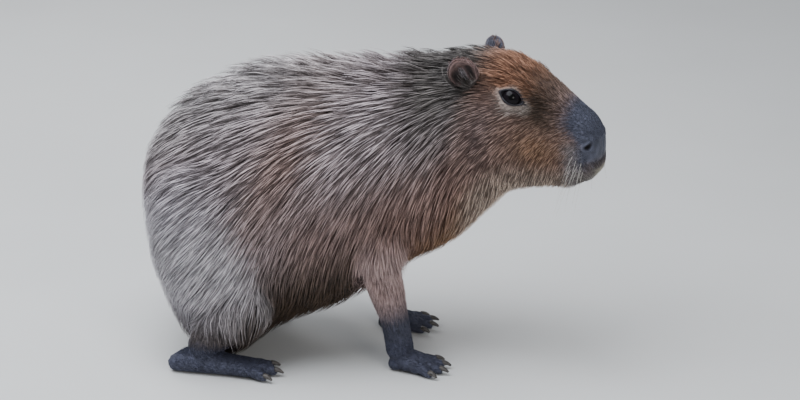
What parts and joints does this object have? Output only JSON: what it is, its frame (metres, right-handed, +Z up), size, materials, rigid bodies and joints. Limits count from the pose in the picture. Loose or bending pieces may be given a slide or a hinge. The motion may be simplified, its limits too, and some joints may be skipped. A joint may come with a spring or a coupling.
{
  "type": "capybara figure",
  "caption": "Life-size still model of a capybara sitting on its haunches, forelegs straight and head turned a little to its right.",
  "frame": {"origin": "on the floor under the middle of the whole animal's box", "axes": "+X forward, the way the animal faces; +Y to the animal's left; +Z up"},
  "size_m": [0.7725, 0.3582, 0.5444],
  "materials": {
    "coarse_coat": "matt",
    "short_fur": "matt",
    "bare_skin": "matt",
    "eye": "glossy"
  },
  "bodies": {
    "root": {"head": "short_fur", "ear_right": "short_fur", "ear_left": "short_fur", "eye_right": "eye", "eye_left": "eye", "neck": "coarse_coat", "torso": "coarse_coat", "rump": "coarse_coat", "foreleg_right": "coarse_coat", "foreleg_left": "coarse_coat", "hindleg_right": "coarse_coat", "hindleg_left": "coarse_coat", "forefoot_right": "bare_skin", "forefoot_left": "bare_skin", "hindfoot_right": "bare_skin", "hindfoot_left": "bare_skin"}
  },
  "joints": []
}
